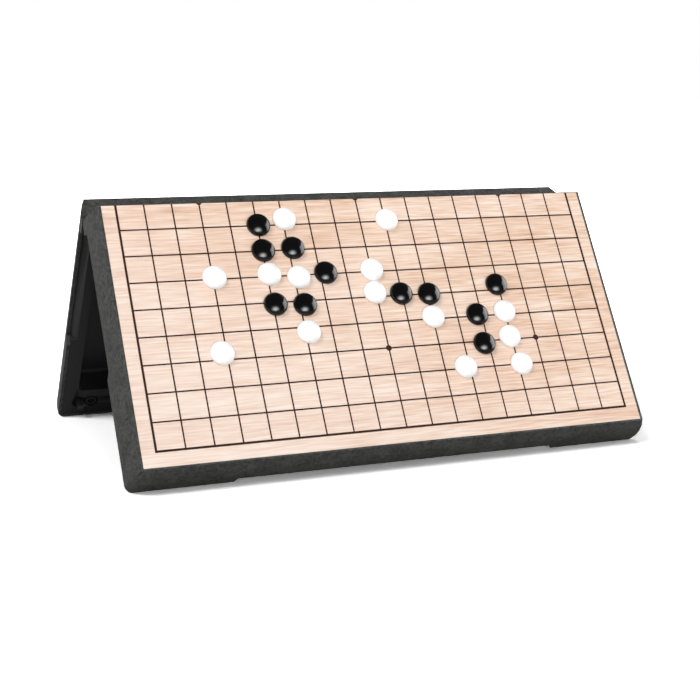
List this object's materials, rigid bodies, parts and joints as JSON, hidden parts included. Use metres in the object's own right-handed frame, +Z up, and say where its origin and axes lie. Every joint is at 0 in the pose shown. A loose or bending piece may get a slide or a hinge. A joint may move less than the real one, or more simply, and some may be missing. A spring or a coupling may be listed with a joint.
{
  "type": "folding magnetic go board",
  "caption": "Folding magnetic go board standing as a tent: two hinged half cases with printed playing faces outside, stone trays inside and domed stones on the front.",
  "frame": {"origin": "on the ground under the fold axis, midway along it", "axes": "+X along the fold to the right as the front face is seen, +Y to the back, +Z up"},
  "size_m": [0.2872, 0.1836, 0.131],
  "materials": {
    "case_plastic": "moulded, fine pebble texture",
    "tray_plastic": "moulded, fine matt",
    "plate_steel": "tin-plated sheet",
    "fastener_steel": "nickel plated",
    "printed_sheet": "printed wood grain, satin laminate",
    "black_stone": "moulded, polished",
    "white_stone": "moulded, polished"
  },
  "bodies": {
    "front_half": {"front_case": "case_plastic", "front_steel_plate": "plate_steel", "front_playing_sheet": "printed_sheet", "front_tray": "tray_plastic", "front_tray_screws": "fastener_steel", "right_hinge_pin": "fastener_steel"},
    "rear_half": {"rear_case": "case_plastic", "rear_steel_plate": "plate_steel", "rear_playing_sheet": "printed_sheet", "rear_tray": "tray_plastic", "rear_tray_screws": "fastener_steel", "left_hinge_pin": "fastener_steel"},
    "black_stone_01": {"black_stone_01": "black_stone"},
    "black_stone_02": {"black_stone_02": "black_stone"},
    "black_stone_03": {"black_stone_03": "black_stone"},
    "black_stone_04": {"black_stone_04": "black_stone"},
    "black_stone_05": {"black_stone_05": "black_stone"},
    "black_stone_06": {"black_stone_06": "black_stone"},
    "black_stone_07": {"black_stone_07": "black_stone"},
    "black_stone_08": {"black_stone_08": "black_stone"},
    "black_stone_09": {"black_stone_09": "black_stone"},
    "black_stone_10": {"black_stone_10": "black_stone"},
    "black_stone_11": {"black_stone_11": "black_stone"},
    "white_stone_01": {"white_stone_01": "white_stone"},
    "white_stone_02": {"white_stone_02": "white_stone"},
    "white_stone_03": {"white_stone_03": "white_stone"},
    "white_stone_04": {"white_stone_04": "white_stone"},
    "white_stone_05": {"white_stone_05": "white_stone"},
    "white_stone_06": {"white_stone_06": "white_stone"},
    "white_stone_07": {"white_stone_07": "white_stone"},
    "white_stone_08": {"white_stone_08": "white_stone"},
    "white_stone_09": {"white_stone_09": "white_stone"},
    "white_stone_10": {"white_stone_10": "white_stone"},
    "white_stone_11": {"white_stone_11": "white_stone"},
    "white_stone_12": {"white_stone_12": "white_stone"},
    "white_stone_13": {"white_stone_13": "white_stone"},
    "white_stone_14": {"white_stone_14": "white_stone"}
  },
  "joints": [
    {"name": "fold_hinge", "type": "hinge", "parent": "front_half", "child": "rear_half", "pos_m": [0, 0, 0.12071], "axis": [1, 0, 0], "range_deg": [-66, 114]},
    {"name": "black_stone_01_lift", "type": "slide", "parent": "front_half", "child": "black_stone_01", "axis": [0, -0.8387, 0.5446], "range_m": [0, 0.03]},
    {"name": "black_stone_02_lift", "type": "slide", "parent": "front_half", "child": "black_stone_02", "axis": [0, -0.8387, 0.5446], "range_m": [0, 0.03]},
    {"name": "black_stone_03_lift", "type": "slide", "parent": "front_half", "child": "black_stone_03", "axis": [0, -0.8387, 0.5446], "range_m": [0, 0.03]},
    {"name": "black_stone_04_lift", "type": "slide", "parent": "front_half", "child": "black_stone_04", "axis": [0, -0.8387, 0.5446], "range_m": [0, 0.03]},
    {"name": "black_stone_05_lift", "type": "slide", "parent": "front_half", "child": "black_stone_05", "axis": [0, -0.8387, 0.5446], "range_m": [0, 0.03]},
    {"name": "black_stone_06_lift", "type": "slide", "parent": "front_half", "child": "black_stone_06", "axis": [0, -0.8387, 0.5446], "range_m": [0, 0.03]},
    {"name": "black_stone_07_lift", "type": "slide", "parent": "front_half", "child": "black_stone_07", "axis": [0, -0.8387, 0.5446], "range_m": [0, 0.03]},
    {"name": "black_stone_08_lift", "type": "slide", "parent": "front_half", "child": "black_stone_08", "axis": [0, -0.8387, 0.5446], "range_m": [0, 0.03]},
    {"name": "black_stone_09_lift", "type": "slide", "parent": "front_half", "child": "black_stone_09", "axis": [0, -0.8387, 0.5446], "range_m": [0, 0.03]},
    {"name": "black_stone_10_lift", "type": "slide", "parent": "front_half", "child": "black_stone_10", "axis": [0, -0.8387, 0.5446], "range_m": [0, 0.03]},
    {"name": "black_stone_11_lift", "type": "slide", "parent": "front_half", "child": "black_stone_11", "axis": [0, -0.8387, 0.5446], "range_m": [0, 0.03]},
    {"name": "white_stone_01_lift", "type": "slide", "parent": "front_half", "child": "white_stone_01", "axis": [0, -0.8387, 0.5446], "range_m": [0, 0.03]},
    {"name": "white_stone_02_lift", "type": "slide", "parent": "front_half", "child": "white_stone_02", "axis": [0, -0.8387, 0.5446], "range_m": [0, 0.03]},
    {"name": "white_stone_03_lift", "type": "slide", "parent": "front_half", "child": "white_stone_03", "axis": [0, -0.8387, 0.5446], "range_m": [0, 0.03]},
    {"name": "white_stone_04_lift", "type": "slide", "parent": "front_half", "child": "white_stone_04", "axis": [0, -0.8387, 0.5446], "range_m": [0, 0.03]},
    {"name": "white_stone_05_lift", "type": "slide", "parent": "front_half", "child": "white_stone_05", "axis": [0, -0.8387, 0.5446], "range_m": [0, 0.03]},
    {"name": "white_stone_06_lift", "type": "slide", "parent": "front_half", "child": "white_stone_06", "axis": [0, -0.8387, 0.5446], "range_m": [0, 0.03]},
    {"name": "white_stone_07_lift", "type": "slide", "parent": "front_half", "child": "white_stone_07", "axis": [0, -0.8387, 0.5446], "range_m": [0, 0.03]},
    {"name": "white_stone_08_lift", "type": "slide", "parent": "front_half", "child": "white_stone_08", "axis": [0, -0.8387, 0.5446], "range_m": [0, 0.03]},
    {"name": "white_stone_09_lift", "type": "slide", "parent": "front_half", "child": "white_stone_09", "axis": [0, -0.8387, 0.5446], "range_m": [0, 0.03]},
    {"name": "white_stone_10_lift", "type": "slide", "parent": "front_half", "child": "white_stone_10", "axis": [0, -0.8387, 0.5446], "range_m": [0, 0.03]},
    {"name": "white_stone_11_lift", "type": "slide", "parent": "front_half", "child": "white_stone_11", "axis": [0, -0.8387, 0.5446], "range_m": [0, 0.03]},
    {"name": "white_stone_12_lift", "type": "slide", "parent": "front_half", "child": "white_stone_12", "axis": [0, -0.8387, 0.5446], "range_m": [0, 0.03]},
    {"name": "white_stone_13_lift", "type": "slide", "parent": "front_half", "child": "white_stone_13", "axis": [0, -0.8387, 0.5446], "range_m": [0, 0.03]},
    {"name": "white_stone_14_lift", "type": "slide", "parent": "front_half", "child": "white_stone_14", "axis": [0, -0.8387, 0.5446], "range_m": [0, 0.03]}
  ]
}
